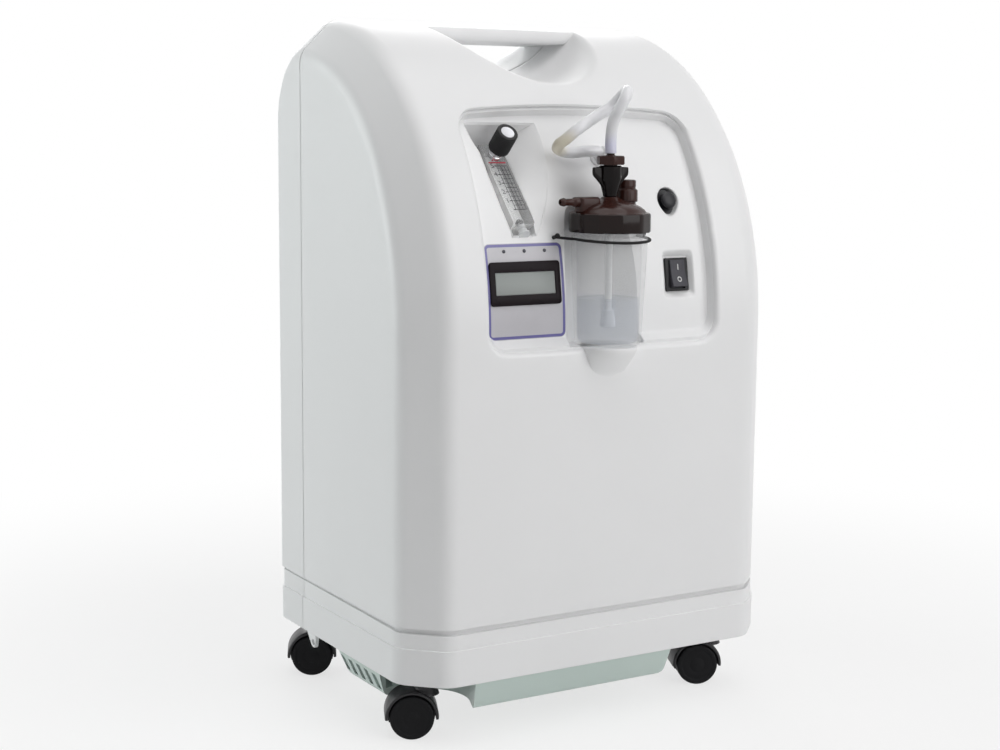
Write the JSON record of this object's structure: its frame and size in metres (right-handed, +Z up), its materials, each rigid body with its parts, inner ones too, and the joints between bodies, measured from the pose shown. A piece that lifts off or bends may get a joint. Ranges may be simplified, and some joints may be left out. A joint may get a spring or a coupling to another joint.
{
  "type": "oxygen concentrator",
  "caption": "Upright home oxygen concentrator on twin-wheel casters, with a sunk sloping panel, flowmeter, display, switch and a humidifier bottle.",
  "frame": {"origin": "on the floor, under the middle of the box round the machine without its hose", "axes": "+Z up, -Y out of the front panel, +X to the right as seen from the front"},
  "size_m": [0.385, 0.3192, 0.622],
  "materials": {
    "shell_white": "satin moulded, fine grain",
    "base_white": "satin moulded",
    "tray_green": "satin moulded",
    "caster_hood": "satin moulded",
    "wheel_black": "satin moulded",
    "zinc_steel": "zinc plated",
    "sheet_steel": "galvanised sheet",
    "label_grey": "printed film with a violet border",
    "display_dark": "gloss",
    "lcd_glass": "reflective display",
    "lamp_dark": "smoked",
    "board_green": "solder mask",
    "acrylic_clear": "polished acrylic with a white scale",
    "brass_fitting": "turned",
    "plastic_black": "satin",
    "cap_silver": "satin disc",
    "bonnet_steel": "plated",
    "switch_dark": "fine grain",
    "fitting_brown": "gloss moulded",
    "coupling_black": "gloss moulded",
    "hose_silicone": "milky silicone",
    "jar_frosted": "frosted clear moulding",
    "water_clear": "still water",
    "gasket_grey": "soft",
    "tube_white": "sintered and moulded white",
    "strap_black": "matte",
    "motor_grey": "painted",
    "cast_alloy": "as cast",
    "shaft_steel": "ground",
    "mount_rubber": "matte",
    "fan_black": "moulded",
    "coil_copper": "bare tube",
    "bed_alloy": "anodised",
    "transformer_iron": "varnished",
    "intake_grey": "moulded"
  },
  "bodies": {
    "cabinet": {"front_shell": "shell_white", "rear_shell": "shell_white", "base_front": "base_white", "base_rear": "base_white", "chassis_plate": "sheet_steel", "under_tray": "tray_green", "caster_stems": "zinc_steel", "control_label": "label_grey", "lcd_frame": "display_dark", "lcd_display": "lcd_glass", "indicator_lamps": "lamp_dark", "control_board": "board_green", "flowmeter_block": "acrylic_clear", "flowmeter_plug": "acrylic_clear", "flowmeter_fittings": "bonnet_steel", "valve_bonnet": "bonnet_steel", "switch_housing": "switch_dark", "breaker_body": "plastic_black", "outlet_elbow": "tube_white", "oxygen_hose": "hose_silicone", "humidifier_lid": "fitting_brown", "lid_gasket": "gasket_grey", "dip_tube": "tube_white", "inlet_adapter": "fitting_brown", "relief_valve": "fitting_brown", "jar_strap": "strap_black", "strap_pegs": "plastic_black", "compressor_motor": "motor_grey", "crankcases": "cast_alloy", "compressor_heads": "cast_alloy", "spring_mounts": "mount_rubber", "equipment_deck": "sheet_steel", "fan_frame": "fan_black", "heat_exchanger": "coil_copper", "sieve_beds": "bed_alloy", "product_tank": "bed_alloy", "valve_manifold": "cast_alloy", "pressure_regulator": "brass_fitting", "transformer": "transformer_iron", "intake_box": "intake_grey", "power_inlet": "plastic_black"},
    "knob": {"flow_knob": "plastic_black", "knob_cap": "cap_silver"},
    "float": {"float_ball": "plastic_black"},
    "rocker_switch": {"rocker": "switch_dark"},
    "reset_push": {"reset_button": "plastic_black"},
    "coupling": {"wing_coupling": "coupling_black"},
    "jar": {"humidifier_jar": "jar_frosted", "humidifier_water": "water_clear"},
    "fan": {"fan_rotor": "fan_black"},
    "crankshaft": {"drive_shaft": "shaft_steel"},
    "intake_cover": {"filter_cover": "intake_grey"},
    "caster_fl": {"caster_hood_fl": "caster_hood"},
    "wheels_fl": {"wheel_set_fl": "wheel_black"},
    "caster_fr": {"caster_hood_fr": "caster_hood"},
    "wheels_fr": {"wheel_set_fr": "wheel_black"},
    "caster_rl": {"caster_hood_rl": "caster_hood"},
    "wheels_rl": {"wheel_set_rl": "wheel_black"},
    "caster_rr": {"caster_hood_rr": "caster_hood"},
    "wheels_rr": {"wheel_set_rr": "wheel_black"}
  },
  "joints": [
    {"name": "swivel_fl", "type": "hinge", "parent": "cabinet", "child": "caster_fl", "pos_m": [-0.154, -0.0755, 0.05], "axis": [0, 0, 1], "continuous": true},
    {"name": "roll_fl", "type": "hinge", "parent": "caster_fl", "child": "wheels_fl", "pos_m": [-0.16488, -0.07043, 0.0195], "axis": [0.4226, 0.9063, 0], "continuous": true},
    {"name": "swivel_fr", "type": "hinge", "parent": "cabinet", "child": "caster_fr", "pos_m": [0.154, -0.0755, 0.05], "axis": [0, 0, 1], "continuous": true},
    {"name": "roll_fr", "type": "hinge", "parent": "caster_fr", "child": "wheels_fr", "pos_m": [0.14312, -0.07043, 0.0195], "axis": [0.4226, 0.9063, 0], "continuous": true},
    {"name": "swivel_rl", "type": "hinge", "parent": "cabinet", "child": "caster_rl", "pos_m": [-0.154, 0.1295, 0.05], "axis": [0, 0, 1], "continuous": true},
    {"name": "roll_rl", "type": "hinge", "parent": "caster_rl", "child": "wheels_rl", "pos_m": [-0.16488, 0.13457, 0.0195], "axis": [0.4226, 0.9063, 0], "continuous": true},
    {"name": "swivel_rr", "type": "hinge", "parent": "cabinet", "child": "caster_rr", "pos_m": [0.154, 0.1295, 0.05], "axis": [0, 0, 1], "continuous": true},
    {"name": "roll_rr", "type": "hinge", "parent": "caster_rr", "child": "wheels_rr", "pos_m": [0.14312, 0.13457, 0.0195], "axis": [0.4226, 0.9063, 0], "continuous": true},
    {"name": "flow_valve", "type": "hinge", "parent": "cabinet", "child": "knob", "pos_m": [-0.075, -0.05317, 0.50064], "axis": [0, -0.7361, 0.6769], "range_deg": [0, 1080]},
    {"name": "float_rise", "type": "slide", "parent": "cabinet", "child": "float", "axis": [0, 0.6769, 0.7361], "range_m": [0, 0.058]},
    {"name": "rocker_tilt", "type": "hinge", "parent": "cabinet", "child": "rocker_switch", "pos_m": [0.084, -0.10408, 0.39595], "axis": [1, 0, 0], "range_deg": [0, 16]},
    {"name": "reset_press", "type": "slide", "parent": "cabinet", "child": "reset_push", "axis": [0, 0.9304, -0.3667], "range_m": [0, 0.003], "stiffness_N_per_m": 400},
    {"name": "coupling_turn", "type": "hinge", "parent": "cabinet", "child": "coupling", "pos_m": [0, -0.1224, 0.48], "axis": [0, 0, 1], "continuous": true},
    {"name": "jar_unscrew", "type": "hinge", "parent": "cabinet", "child": "jar", "pos_m": [0, -0.1224, 0.39], "axis": [0, 0, 1], "range_deg": [-360, 0]},
    {"name": "fan_spin", "type": "hinge", "parent": "cabinet", "child": "fan", "pos_m": [-0.084, -0.0504, 0.26], "axis": [0, 0, 1], "continuous": true},
    {"name": "crankshaft_spin", "type": "hinge", "parent": "cabinet", "child": "crankshaft", "pos_m": [0, -0.0504, 0.144], "axis": [1, 0, 0], "continuous": true},
    {"name": "cover_pull", "type": "slide", "parent": "cabinet", "child": "intake_cover", "axis": [0, 1, 0], "range_m": [0, 0.03]}
  ]
}
